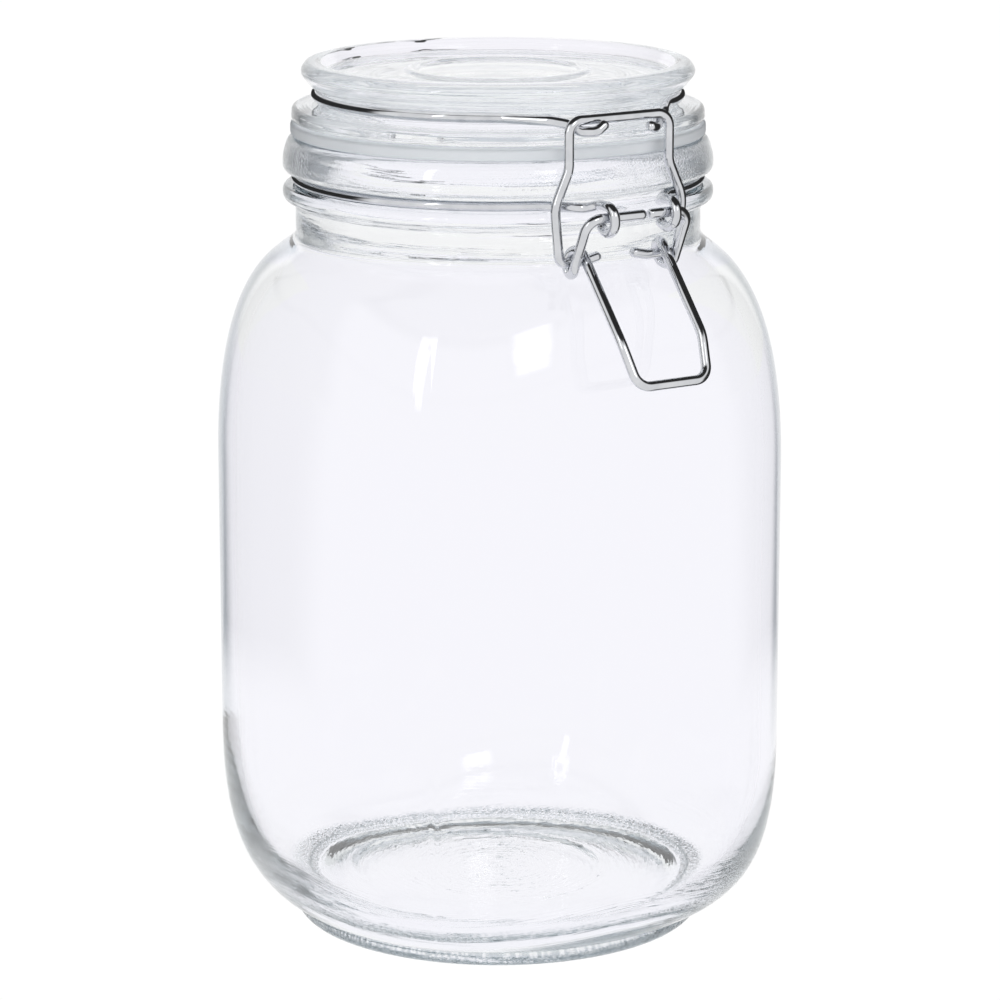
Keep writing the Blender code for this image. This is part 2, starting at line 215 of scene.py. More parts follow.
# Where a spot of the glass lies: its height above the table and its reach from the jar's axis in
# millimetres, the way round as a unit vector, and onward = height + reach, which runs on along
# the outline over flat and upright stretches alike.
def addPlace(tree):
    spot = addNode(tree, "TexCoord")
    split = addNode(tree, "SeparateXYZ", {}, {"Vector": (spot, "Object")})
    height = addNode(tree, "Math", {"operation": "MULTIPLY", 1: 1 / mm}, {0: (split, "Z")})
    toAxis = addNode(tree, "VectorMath", {"operation": "SUBTRACT", 1: (0, axisY * mm, 0)},
                     {0: (spot, "Object")})
    flat = addNode(tree, "VectorMath", {"operation": "MULTIPLY", 1: (1 / mm, 1 / mm, 0)},
                   {0: toAxis})
    reach = addNode(tree, "VectorMath", {"operation": "LENGTH"}, {0: flat})
    around = addNode(tree, "VectorMath", {"operation": "NORMALIZE"}, {0: flat})
    onward = addNode(tree, "Math", {"operation": "ADD"}, {0: height, 1: (reach, "Value")})
    return {"spot": spot, "height": height, "reach": reach, "around": around, "onward": onward}


# Turning marks: noise that runs far round the axis and little across, on the neck and the base.
def addMarks(tree, look, at, before):
    along = addNode(tree, "CombineXYZ", {}, {"Z": at["onward"]})
    spread = addNode(tree, "VectorMath",
                     {"operation": "MULTIPLY", 1: (look["markAround"], look["markAround"], 0)},
                     {0: at["around"]})
    lie = addNode(tree, "VectorMath", {"operation": "ADD"}, {0: spread, 1: along})
    marks = addNode(tree, "TexNoise", {"Scale": 1 / look["markSize"], "Detail": 2.0},
                    {"Vector": lie})
    high = addNode(tree, "MapRange", between(look["markNeck"]), {"Value": at["height"]})
    low = addNode(tree, "MapRange", between(look["markBase"]), {"Value": at["height"]})
    outer = addNode(tree, "MapRange",
                    {**smooth, **between(look["markReach"]), "To Min": look["markInside"]},
                    {"Value": (at["reach"], "Value")})
    neck = addNode(tree, "Math", {"operation": "MULTIPLY"}, {0: high, 1: outer})
    mask = addNode(tree, "Math", {"operation": "MAXIMUM"}, {0: neck, 1: low})
    share = addNode(tree, "Math",
                    {"operation": "MULTIPLY_ADD", 1: look["markShare"], 2: look["markLeast"]},
                    {0: mask})
    return addNode(tree, "Bump", {"Distance": look["markDepth"] * mm},
                   {"Height": marks, "Strength": share, "Normal": before})


# Cold peel on the lip's outside: fine noise in patches, fading towards the seams. Gives the bump
# and how much light its grains take away.
def addPeel(tree, look, band, at, before):
    peel = addNode(tree, "TexNoise", {"Scale": 1 / (look["peelSize"] * mm), "Detail": 2.0},
                   {"Vector": (at["spot"], "Object")})
    patch = addNode(tree, "TexNoise", {"Scale": look["peelPatch"], "Detail": 1.0},
                    {"Vector": (at["spot"], "Object")})
    patches = addNode(tree, "MapRange", between(look["patches"]), {"Value": patch})
    high = addNode(tree, "MapRange", {**smooth, **between(band)}, {"Value": at["height"]})
    outer = addNode(tree, "Math", {"operation": "GREATER_THAN", 1: look["peelReach"]},
                    {0: (at["reach"], "Value")})
    mask = addNode(tree, "Math", {"operation": "MULTIPLY"}, {0: high, 1: outer})
    spots = addNode(tree, "Math", {"operation": "MULTIPLY"}, {0: mask, 1: patches})
    toSeam = addNode(tree, "VectorMath", {"operation": "DOT_PRODUCT", 1: look["seamWay"]},
                     {0: at["around"]})
    nearSeam = addNode(tree, "Math", {"operation": "ABSOLUTE"}, {0: (toSeam, "Value")})
    cold = addNode(tree, "MapRange",
                   {**smooth, **between(look["seamFade"]), "To Min": look["peelNearSeam"]},
                   {"Value": nearSeam})
    share = addNode(tree, "Math", {"operation": "MULTIPLY"}, {0: spots, 1: cold})
    bump = addNode(tree, "Bump", {"Distance": look["peelDepth"] * mm},
                   {"Height": peel, "Strength": share, "Normal": before})
    grains = addNode(tree, "MapRange", {**smooth, **between(look["grains"])}, {"Value": peel})
    taken = addNode(tree, "Math", {"operation": "MULTIPLY"}, {0: grains, 1: share})
    return bump, taken


# Stipple on the bearing ring: cells on the ring unrolled, angle times radius by height plus
# reach. Gives the bump and how much light its dots take away.
def addStipple(tree, look, top, at, before):
    split = addNode(tree, "SeparateXYZ", {}, {"Vector": at["around"]})
    angle = addNode(tree, "Math", {"operation": "ARCTAN2"}, {0: (split, "Y"), 1: (split, "X")})
    girth = addNode(tree, "Math", {"operation": "MULTIPLY", 1: jar["baseRing"]}, {0: angle})
    unrolled = addNode(tree, "CombineXYZ", {}, {"X": girth, "Y": at["onward"]})
    cells = addNode(tree, "TexVoronoi",
                    {"voronoi_dimensions": "2D", "Scale": 1 / look["stippleSize"]},
                    {"Vector": unrolled})
    low = addNode(tree, "MapRange", {"From Min": top, "From Max": top * look["stippleFull"]},
                  {"Value": at["height"]})
    outer = addNode(tree, "Math", {"operation": "GREATER_THAN", 1: look["stippleReach"]},
                    {0: (at["reach"], "Value")})
    share = addNode(tree, "Math", {"operation": "MULTIPLY"}, {0: low, 1: outer})
    bump = addNode(tree, "Bump", {"Distance": look["stippleDepth"] * mm},
                   {"Height": cells, "Strength": share, "Normal": before})
    dots = addNode(tree, "MapRange", {**smooth, **between(look["dots"])}, {"Value": cells})
    taken = addNode(tree, "Math", {"operation": "MULTIPLY"}, {0: dots, 1: share})
    return bump, taken


# Soda-lime glass pressed in an iron mould and fire polished: mirror smooth, with slow swells,
# a peel where the mould was coldest, and a faint blue-grey cast where it is thick.
def makeGlass(name):
    look, part = glassLook, glassParts[name]
    material, tree = newMaterial(name)
    at = addPlace(tree)
    swell = addNode(tree, "TexNoise", {"Scale": 1 / (look["swellSize"] * mm), "Detail": 1.0},
                    {"Vector": (at["spot"], "Object")})
    slow = addNode(tree, "Bump",
                   {"Strength": look["swellShare"], "Distance": look["swellDepth"] * mm},
                   {"Height": swell})
    marked = addMarks(tree, look, at, slow)
    peeled, grains = addPeel(tree, look, part["peel"], at, marked)
    stippled, dots = addStipple(tree, look, part["stippleTop"], at, peeled)
    rough = addNode(tree, "Math", {"operation": "MAXIMUM"}, {0: grains, 1: dots})
    colour = addNode(tree, "Mix",
                     {"data_type": "RGBA", 6: hexToLinear(look["surface"]),
                      7: hexToLinear(look["scatter"])}, {0: rough})
    # painted shade: the base colour turns grey where the outer wall is seen edge-on, standing in for
    # dark surroundings mirrored at the outline
    facing = addNode(tree, "LayerWeight", {"Blend": 0.5})
    edge = addNode(tree, "MapRange", {**smooth, **between(look["paintedEdgeFacing"])},
                   {"Value": (facing, "Facing")})
    paintedShadeWallShare = addNode(tree, "Attribute", {"attribute_name": "paintedEdgeShadeWall"})
    paintedEdgeShare = addNode(tree, "Math", {"operation": "MULTIPLY"}, {0: edge, 1: (paintedShadeWallShare, "Fac")})
    edgeShadePainted = addNode(tree, "Mix", {"data_type": "RGBA", 7: hexToLinear(look["rim"])},
                     {0: paintedEdgeShare, 6: (colour, 2)})
    shader = addNode(tree, "BsdfPrincipled",
                     {"Roughness": 0.0, "IOR": look["ior"], "Transmission Weight": 1.0},
                     {"Base Color": (edgeShadePainted, 2), "Normal": stippled})
    tint = addNode(tree, "VolumeAbsorption",
                   {"Color": hexToLinear(look["tint"]), "Density": part["density"]})
    addNode(tree, "OutputMaterial", {}, {"Surface": shader, "Volume": tint})
    print("glass mixed:", name)
    return material


rubberLook = {
    "colour": "#E6E9EC", "shade": "#D6DBE0", "roughness": 0.42,
    "clouds": 90.0,                      # a metre; slow change of the milky body
    "grainSize": 0.8, "grainDepth": 0.1, "grainShare": 0.12,  # mm; the mould's grain
    "glow": 0.35, "glowReach": 3.0,      # light that passes through, and how far in mm
    "ior": 1.41,
}


# Silicone rubber, moulded: a milky, slightly cloudy body with a soft sheen.
def makeRubber():
    look = rubberLook
    material, tree = newMaterial("siliconeRubber")
    spot = addNode(tree, "TexCoord")
    cloud = addNode(tree, "TexNoise", {"Scale": look["clouds"], "Detail": 3.0},
                    {"Vector": (spot, "Object")})
    grain = addNode(tree, "TexNoise", {"Scale": 1000 / look["grainSize"]},
                    {"Vector": (spot, "Object")})
    colour = addNode(tree, "Mix",
                     {"data_type": "RGBA", 6: hexToLinear(look["shade"]),
                      7: hexToLinear(look["colour"])}, {"Factor": cloud})
    bump = addNode(tree, "Bump",
                   {"Strength": look["grainShare"], "Distance": look["grainDepth"] * mm},
                   {"Height": grain})
    shader = addNode(tree, "BsdfPrincipled",
                     {"Roughness": look["roughness"], "Subsurface Weight": look["glow"],
                      "Subsurface Radius": (look["glowReach"] * mm,) * 3, "IOR": look["ior"]},
                     {"Base Color": (colour, 2), "Normal": bump})
    addNode(tree, "OutputMaterial", {}, {"Surface": shader})
    print("rubber mixed")
    return material


steelLook = {
    "colour": "#E4E5E8", "shade": "#C4C6CA",
    "roughness": (0.042, 0.105),         # between the lines and on them
    "lineWide": 0.12, "lineDepth": 0.03, "lineShare": 0.1,  # mm; lines from the drawing die
    "lineEnds": 60.0, "clouds": 350.0,   # a metre; along a line, and of slight uneven colour
}


# Bright drawn steel wire: mirror-like, with faint lines along it from the drawing die.
def makeSteel():
    look = steelLook
    material, tree = newMaterial("brightDrawnSteel")
    along = addNode(tree, "UVMap", {"uv_map": "alongWire"})
    stretch = addNode(tree, "Mapping", {"Scale": (1000 / look["lineWide"], look["lineEnds"], 1.0)},
                      {"Vector": along})
    lines = addNode(tree, "TexNoise", {"Scale": 1.0, "Detail": 3.0}, {"Vector": stretch})
    spot = addNode(tree, "TexCoord")
    cloud = addNode(tree, "TexNoise", {"Scale": look["clouds"], "Detail": 2.0},
                    {"Vector": (spot, "Object")})
    colour = addNode(tree, "Mix",
                     {"data_type": "RGBA", 6: hexToLinear(look["shade"]),
                      7: hexToLinear(look["colour"])}, {"Factor": cloud})
    rough = addNode(tree, "MapRange",
                    {"To Min": look["roughness"][0], "To Max": look["roughness"][1]},
                    {"Value": lines})
    bump = addNode(tree, "Bump",
                   {"Strength": look["lineShare"], "Distance": look["lineDepth"] * mm},
                   {"Height": lines})
    shader = addNode(tree, "BsdfPrincipled", {"Metallic": 1.0},
                     {"Base Color": (colour, 2), "Roughness": rough, "Normal": bump})
    addNode(tree, "OutputMaterial", {}, {"Surface": shader})
    print("steel mixed")
    return material


jar = {
    "columns": 256,
    "squareness": 2.7,        # 2 is a circle, larger is squarer
    "wall": 3.5,
    # how many rows of points a stretch gets, or how far apart they are
    "rows": {"under": 18, "quarter": 34, "quarterInside": 30, "side": 16, "ease": 16,
             "throat": 8, "throatEase": 22},
    "footStep": 0.4, "neckStep": 0.6, "floorStep": 0.8,
    "punt": 3.0,              # rise of the underside inside its bearing ring
    "puntFlat": 24.0, "puntPower": 2.4,
    "footIn": 44.3, "footOut": 46.9,
    "baseRing": 48.2, "heelIn": 1.3, "heelUp": 3.6,
    "knurls": 128, "knurlDepth": 0.12, "knurlUp": 1.8, "knurlWide": 1.1,
    "cornerTop": 45.0, "cornerPower": 2.3,
    "shoulderFoot": 110.0, "shoulderTop": 160.9, "shoulderPower": 2.0,
    "neck": 46.9, "neckFoot": 163.8, "boreFoot": 170.0,
    "leaveOff": 3.6, "leaveOffInside": 5.0,  # this far from the neck the shoulder turns upright
    "bead": 49.8, "groove": 45.0, "grooveUp": 176.35,
    "lip": 49.7, "mouth": 40.3,
    "floorUp": 8.4, "floorEdge": 43.0,
    # the plunger's ring on the floor, the step inside it and where it fades on the wall
    "markAt": (-6.5, 0.4), "markRing": 30.0, "markRise": 0.3, "markWide": 0.7, "markDrop": 0.25,
    "markStep": 0.5, "markOver": 3.0, "markFade": 2.0,
    "seam": 0.10, "seamWide": 0.9, "seamAt": (-135.0, 45.0),  # wide and at in degrees from +X
    "seamFrom": 4.0, "seamFade": 6.0, "seamEnd": 2.0, "seamEndFade": 3.0,
    # slow unevenness of the inner wall, of waves (number round, height per radian, start)
    "swell": 0.07, "swellFrom": 12.0, "swellFade": 20.0,
    "swellWaves": [(3, 11.0, 0), (5, -17.0, 1), (2, 7.0, 2)],
    "edgeFrom": 38.0, "edgeOver": 30.0, "edgeEnd": 6.0,  # where the outer wall takes its painted dark edge shade
    "crowding": 0.35,         # how much closer the columns stand at the seams
}


# Rows from a point on an upright wall, by a cubic (Hermite) curve, to the first of the rows that
# follow, in whose direction it ends.
def easeRows(start, after, steps):
    start, end = np.array(start), after[0, :2]
    ahead = after[1, :2] - end
    span = np.linalg.norm(end - start)
    leave = np.array([0, np.sign(end[1] - start[1])]) * span
    arrive = ahead / np.linalg.norm(ahead) * span
    t = np.linspace(0, 1, steps + 1)[:-1, None]  # from the wall towards the first row
    curve = ((2 * t ** 3 - 3 * t ** 2 + 1) * start + (t ** 3 - 2 * t ** 2 + t) * leave
             + (3 * t ** 2 - 2 * t ** 3) * end + (t ** 3 - t ** 2) * arrive)
    return np.concatenate([curve, t * after[0, 2]], 1)


def bodyProfile():  # rows (radius, height, squareness) from under the base to the floor inside
    j = jar
    n = j["rows"]
    r = np.linspace(poleRing, j["footIn"], n["under"])
    rise = np.clip((r - j["puntFlat"]) / (j["footIn"] - j["puntFlat"]), 0, 1) ** j["puntPower"]
    under = roundRows(np.stack([r, j["punt"] * (1 - rise)], 1))
    heel = (j["baseRing"] - j["heelIn"], j["heelUp"])
    foot = roundRows(evenSteps(bendPath([
        ((j["footIn"], 0), 0), ((j["footOut"] + 0.3, 0), 0.8), ((j["baseRing"], 1.0), 0.9),
        ((j["baseRing"], 2.6), 0.8), (heel, 0)]), j["footStep"]))[1:]
    corner = superQuarter(heel[0], bodyHalf, heel[1], j["cornerTop"], j["cornerPower"],
                          n["quarter"])[1:]
    up = np.linspace(j["cornerTop"], j["shoulderFoot"], n["side"])[1:-1]
    side = np.stack([np.full_like(up, bodyHalf), up, np.ones_like(up)], 1)
    shoulder = superQuarter(j["neck"], bodyHalf, j["shoulderTop"], j["shoulderFoot"],
                            j["shoulderPower"], n["quarter"])[::-1]
    shoulder = shoulder[shoulder[:, 0] > j["neck"] + j["leaveOff"]]
    ease = easeRows((j["neck"], j["neckFoot"]), shoulder[::-1], n["ease"])
    shoulder = np.concatenate([shoulder, ease[::-1]])
    g = j["grooveUp"]
    neck = roundRows(evenSteps(bendPath([
        ((j["neck"], j["neckFoot"] + 0.4), 0),
        ((j["neck"], g - 5.4), 0.8), ((j["bead"], g - 4.7), 1.3), ((j["bead"], g - 1.7), 1.3),
        ((j["groove"], g - 1.2), 0.8), ((j["groove"], g + 1.2), 0.8), ((j["lip"] + 0.1, g + 1.6), 1.6),
        ((j["lip"], g + 5.2), 6.0), ((j["lip"] - 1.3, lipTop), 2.4), ((j["mouth"], lipTop), 1.2),
        ((j["mouth"], lipTop - 4), 0)], 12), j["neckStep"]))
    inHalf, inNeck = bodyHalf - j["wall"], j["neck"] - j["wall"]
    inShoulder = superQuarter(inNeck, inHalf, j["shoulderTop"] - j["wall"], j["shoulderFoot"],
                              j["shoulderPower"], n["quarterInside"])
    inShoulder = inShoulder[inShoulder[:, 0] > inNeck + j["leaveOffInside"]]
    throatUp = np.linspace(lipTop - 5, j["boreFoot"] + 1, n["throat"])
    throat = roundRows(np.stack([np.full_like(throatUp, j["mouth"]), throatUp], 1))
    ease = easeRows((j["mouth"], j["boreFoot"]), inShoulder, n["throatEase"])
    throat = np.concatenate([throat, ease])
    inSide = side[::-1] * [0, 1, 1] + [inHalf, 0, 0]
    inCorner = superQuarter(j["floorEdge"], inHalf, j["floorUp"], j["cornerTop"],
                            j["cornerPower"], n["quarterInside"])[::-1]
    floorRadius = np.arange(j["floorEdge"] - j["floorStep"], poleRing, -j["floorStep"])
    floorRows = roundRows(np.stack([floorRadius, np.full_like(floorRadius, j["floorUp"])], 1))
    outside = np.concatenate([under, foot, corner, side, shoulder, neck])
    inside = np.concatenate([throat, inShoulder, inSide, inCorner, floorRows])
    return outside, inside


# Each ring is |x| ** p + |y| ** p = half ** p with p from 2 (round) to the body's squareness.
def ringGrid(profile, columns, squareness=2.0, closeAt=None):
    turn = np.arange(columns) / columns * 2 * pi
    if closeAt is not None:  # columns stand closer at this angle and opposite it
        turn = turn - jar["crowding"] * np.sin(2 * (turn - radians(closeAt)))
    c, s = np.cos(turn)[None], np.sin(turn)[None]
    power = 2 + (squareness - 2) * profile[:, 2:3]
    radius = profile[:, :1] / (np.abs(c) ** power + np.abs(s) ** power) ** (1 / power)
    return turn[None], radius, profile[:, 1:2]


def ringPoints(turn, radius, up):
    return np.stack([radius * np.cos(turn), axisY + radius * np.sin(turn), up + 0 * radius], -1)


# The seam is a narrow ridge (a Gaussian in angle) outside; the swell is a sum of slow waves inside.
def makeBody(material):
    j = jar
    outside, inside = bodyProfile()
    turn, radius, up = ringGrid(outside, j["columns"], j["squareness"], j["seamAt"][1])
    across = (degrees(1) * turn[..., None] - np.array(j["seamAt"]) + 180) % 360 - 180
    ridge = np.exp(-(across / j["seamWide"]) ** 2).sum(-1) * j["seam"]
    standing = (np.clip((up - j["seamFrom"]) / j["seamFade"], 0, 1)
                * np.clip((lipTop - j["seamEnd"] - up) / j["seamEndFade"], 0, 1))
    knurl = (np.cos(turn * j["knurls"]) - 1) / 2 * j["knurlDepth"]
    onRing = np.exp(-((up - j["knurlUp"]) / j["knurlWide"]) ** 2) * (radius > j["footOut"])
    outer = ringPoints(turn, radius + ridge * standing + knurl * onRing, up)

    turn, radius, up = ringGrid(inside, j["columns"], j["squareness"], j["seamAt"][1])
    wave = sum(np.sin(count * turn + up / pitch + start)
               for count, pitch, start in j["swellWaves"]) / len(j["swellWaves"])
    fade = (np.clip((up - j["swellFrom"]) / j["swellFade"], 0, 1)
            * np.clip((j["shoulderTop"] - up) / j["swellFade"], 0, 1))
    inner = ringPoints(turn, radius + wave * fade * j["swell"], up)

    # the plunger's mark on the floor: an off-centre ring, its inside a little lower
    off = np.hypot(inner[..., 0] - j["markAt"][0], inner[..., 1] - axisY - j["markAt"][1])
    off = off - j["markRing"]
    onFloor = np.clip((j["floorUp"] + j["markOver"] - inner[..., 2]) / j["markFade"], 0, 1)
    lower = 0.5 - np.arctan(off / j["markStep"]) / pi
    ring = j["markRise"] * np.exp(-(off / j["markWide"]) ** 2)
    inner[..., 2] += onFloor * (ring - j["markDrop"] * lower)

    mesh, _ = gridMesh("glassBody", np.concatenate([outer, inner]), "jar", "jar_body",
                       material)
    # how far each point of the upright outer wall takes the glass's painted edge shade; last the two
    # poles
    up = outer[..., 2]
    paintedShadeWallShare = (np.clip((up - j["edgeFrom"]) / j["edgeOver"], 0, 1)
                 * np.clip((j["neckFoot"] - up) / j["edgeEnd"], 0, 1))
    paintedShadeWallShare = np.concatenate([paintedShadeWallShare.ravel(), np.zeros(inner[..., 2].size + 2)])
    share = mesh.attributes.new("paintedEdgeShadeWall", "FLOAT", "POINT")
    share.data.foreach_set("value", paintedShadeWallShare.astype(np.float32))


lid = {
    "columns": 256, "rowStep": 0.45,
    "ringGap": 0.3,           # the flange stands this far over the rubber ring
    "flange": 47.8, "flangeThick": 3.4,
    "groove": 40.4, "grooveUp": 195.3,
    "rim": 45.6,
    "dish": 40.0, "dishUp": 200.6,
    "emboss": 18.6, "embossWide": 3.0, "embossRise": 0.6,
    "plug": 39.2, "plugUp": 183.4, "plugWide": 6.4,
    "hollow": 30.0, "hollowRise": 8.6,
}


def lidProfile():  # from the middle of the top, down the outside, to the middle of the hollow
    d = lid
    low = ringHigh[2] + d["ringGap"]
    high = low + d["flangeThick"]
    top = lidHigh[2]
    e, w = d["emboss"], d["embossWide"]
    return evenSteps(bendPath([
        ((poleRing, d["dishUp"]), 0), ((e, d["dishUp"]), 0.4),
        ((e + 0.7, d["dishUp"] + d["embossRise"]), 0.4),
        ((e + w - 0.7, d["dishUp"] + d["embossRise"]), 0.4), ((e + w, d["dishUp"]), 0.4),
        ((d["dish"] - 0.6, d["dishUp"]), 1.5), ((d["dish"] + 0.8, top), 0.8),
        ((d["rim"] - 1.4, top), 1.6), ((d["rim"] + 0.1, top - 2.3), 1.6),
        ((d["rim"] - 0.9, top - 3.7), 1.2), ((d["groove"] + 2.4, d["grooveUp"] + 1.7), 1.5),
        ((d["groove"], d["grooveUp"] + 1.6), 1.2), ((d["groove"], high + 0.9), 1.2),
        ((d["groove"] + 2.0, high + 0.1), 1.5), ((d["flange"] - 0.3, high), 1.0),
        ((d["flange"], low + 0.2), 0.8), ((d["plug"], low), 0.6),
        ((d["plug"] - 0.9, d["plugUp"]), 1.3), ((d["plug"] - d["plugWide"] + 0.5, d["plugUp"]), 1.2),
        ((d["hollow"], d["plugUp"] + d["hollowRise"] + 1.4), 5.0),
        ((d["hollow"] - 7, d["plugUp"] + d["hollowRise"] + 2.9), 8.0),
        ((poleRing, d["plugUp"] + d["hollowRise"] + 3.2), 0)], 12), d["rowStep"])


def makeLid(material):
    grid = ringPoints(*ringGrid(roundRows(lidProfile()), lid["columns"]))
    gridMesh("glassLid", grid, "lid", "lid", material)


seal = {"columns": 192, "rowStep": 0.35, "edge": 0.7, "behindMouth": 0.3}


def makeSeal(material):
    outer = (ringHigh[0] - ringLow[0]) / 2
    inner = jar["mouth"] + seal["behindMouth"]
    low, high, edge = ringLow[2], ringHigh[2], seal["edge"]
    loop = evenSteps(bendPath([
        (((inner + outer) / 2, high), 0), ((outer, high), edge), ((outer, low), edge),
        ((inner, low), edge), ((inner, high), edge), (((inner + outer) / 2, high), 0)]),
        seal["rowStep"])[:-1]
    grid = ringPoints(*ringGrid(roundRows(loop), seal["columns"]))
    gridMesh("rubberRing", grid, "lid", "gasket", material, closeRows=True)


wire = {
    "radius": 1.15, "curl": 2.6, "sides": 20, "step": 0.5,
    "pivot": (57.5, 174.8), "coil": (49.7, 164.2), "hinge": (-54.0, 184.0),
    "endChamfer": 0.28,
}


# Points on a ring round the jar, from first to last degrees, counted from the clip towards +X.
def ringArc(radius, up, first, last):
    turn = np.radians(np.arange(first, last + 1e-6, 1.0 if last > first else -1.0))
    return place(0, 0, up) + np.stack([radius * np.sin(turn), -radius * np.cos(turn), 0 * turn], 1)


# A helix round another wire's axis: out = centre + reach cos, up = centre + reach sin, where the
# reach starts at the curl's radius plus what its loose end stands open.
def curlRound(centre, acrossFrom, acrossTo, turnFrom, turnTo, loose=0.0):
    share = np.linspace(0, 1, int(abs(turnTo - turnFrom) / 6) + 2)
    turn = np.radians(turnFrom + (turnTo - turnFrom) * share)
    across = acrossFrom + (acrossTo - acrossFrom) * share
    reach = wire["curl"] + loose * (1 - share) ** 2
    return np.stack([across, axisY - centre[0] - reach * np.cos(turn),
                     centre[1] + reach * np.sin(turn)], 1)


def mirrored(path):
    return path[::-1] * [-1, 1, 1]


# A round section carried along the path. The first normals come from a fixed direction; each is
# then turned back by the running sum of its twist, so the section does not spin on its way.
def tubeGrid(path, radius, sides):
    tangent = np.gradient(path, axis=0)
    tangent /= np.linalg.norm(tangent, axis=1, keepdims=True)
    normal = np.cross(tangent, [0.31, 0.17, 0.93])
    normal /= np.linalg.norm(normal, axis=1, keepdims=True)
    axis = np.cross(tangent[:-1], tangent[1:])
    bend = np.einsum("ij,ij->i", tangent[:-1], tangent[1:])[:, None]
    carried = (normal[:-1] * bend + np.cross(axis, normal[:-1])
               + axis * np.einsum("ij,ij->i", axis, normal[:-1])[:, None] / (1 + bend))
    binormal = np.cross(tangent, normal)
    twist = np.arctan2(np.einsum("ij,ij->i", carried, binormal[1:]),
                       np.einsum("ij,ij->i", carried, normal[1:]))
    twist = np.concatenate([[0], np.cumsum(twist)])[:, None]
    side = normal * np.cos(twist) + binormal * np.sin(twist)
    over = np.cross(tangent, side)
    turn = (np.arange(sides) / sides * 2 * pi)[None, :, None]
    spoke = side[:, None] * np.cos(turn) + over[:, None] * np.sin(turn)
    return path[:, None] + radius[:, None, None] * spoke


# The wire's own map: u runs round it and v along it, both in metres; the end caps stay at 0.
def mapAlong(mesh, lengths, flipped):
    columns, rows = wire["sides"], len(lengths)
    girth = np.arange(columns + 1) / columns * 2 * pi * wire["radius"] * mm
    j = np.tile(np.arange(columns), rows - 1)
    i = np.repeat(np.arange(rows - 1), columns)
    u = np.stack([girth[j], girth[j + 1], girth[j + 1], girth[j]], 1)
    v = np.stack([lengths[i], lengths[i], lengths[i + 1], lengths[i + 1]], 1) * mm
    if flipped:
        u, v = u[:, ::-1], v[:, ::-1]
    uv = np.zeros((len(mesh.loops), 2), np.float32)
    uv[:u.size, 0], uv[:u.size, 1] = u.ravel(), v.ravel()
    mesh.uv_layers.new(name="alongWire").data.foreach_set("uv", uv.ravel())


# The tube is cut square at both ends, with the edge broken by the cutter.
def makeWire(name, path, body, node, material):
    path = evenSteps(path, wire["step"])
    lengths = np.concatenate([[0], np.cumsum(np.linalg.norm(np.diff(path, axis=0), axis=1))])
    fromEnd = np.minimum(lengths, lengths[-1] - lengths)
    radius = wire["radius"] * np.where(fromEnd < 1e-6, 1 - wire["endChamfer"], 1.0)
    grid = tubeGrid(path, radius, wire["sides"])
    mesh, flipped = gridMesh(name, grid, body, node, material)
    mapAlong(mesh, lengths, flipped)


neckWire = {
    "ring": 46.6, "arc": (28, 152),  # degrees from the clip
    "exit": 17.0, "eyeAcross": 8.4, "eyeStart": -150, "eyeOpen": 1.3, "eyeSlant": 0.6,
    "hookAcross": 7.5, "hookDrop": 4.6,
}


def neckWirePath():  # from the clip's middle towards +X: eye, ring, then the hook over the hinge bar
    n = neckWire
    (pivotOut, pivotUp), (hingeOut, hingeUp), up = wire["pivot"], wire["hinge"], jar["grooveUp"]
    eye = curlRound(wire["pivot"], n["eyeAcross"] - n["eyeSlant"], n["eyeAcross"], n["eyeStart"],
                    90, n["eyeOpen"])
    ring = ringArc(n["ring"], up, *n["arc"])
    exitOut = sqrt(n["ring"] ** 2 - n["exit"] ** 2)
    leave = bendPath([
        (eye[-1], 0), (place(n["eyeAcross"], pivotOut - 3.1, pivotUp + wire["curl"]), 3),
        (place(n["eyeAcross"] + 1.4, jar["lip"] + 1.6, up), 4),
        (place(n["exit"], exitOut, up), 6), (ring[0], 0)])[1:-1]
    riser, drop = hingeOut - wire["curl"], hingeOut + wire["curl"]
    rise = bendPath([
        (ring[-1], 0), (place(n["exit"], -exitOut, up), 6),
        (place(n["hookAcross"] + 2.5, -jar["lip"] - 3.3, up), 4),
        (place(n["hookAcross"], riser, up + 1.0), 2), (place(n["hookAcross"], riser, hingeUp), 0)])[1:]
    over = curlRound(wire["hinge"], n["hookAcross"], n["hookAcross"], 180, 0)
    fall = bendPath([(over[-1], 0), (place(n["hookAcross"], drop, hingeUp - n["hookDrop"]), 2),
                     (place(0, drop, hingeUp - n["hookDrop"]), 0)])[1:]
    half = np.concatenate([eye, leave, ring, rise, over, fall])
    return np.concatenate([half, mirrored(half)[1:]])


lidWire = {
    "ring": 41.9, "arc": (40, 154),  # degrees from the clip
    "exit": (22.4, 35.5), "hingeBar": 11.0, "hookBends": [0, 1.9, 2.2, 2.6, 3.0],
    "hooks": {"left": [(15.2, 45.0, 195.3), (12.4, 47.4, 194.7), (10.2, 49.8, 193.1),
                       (7.6, 52.1, 193.1), (5.2, 52.3, 195.0)],
              "right": [(15.2, 45.0, 195.3), (12.4, 47.4, 194.7), (10.2, 49.8, 193.1),
                        (8.4, 51.4, 192.8), (6.3, 51.8, 193.5)]},
}


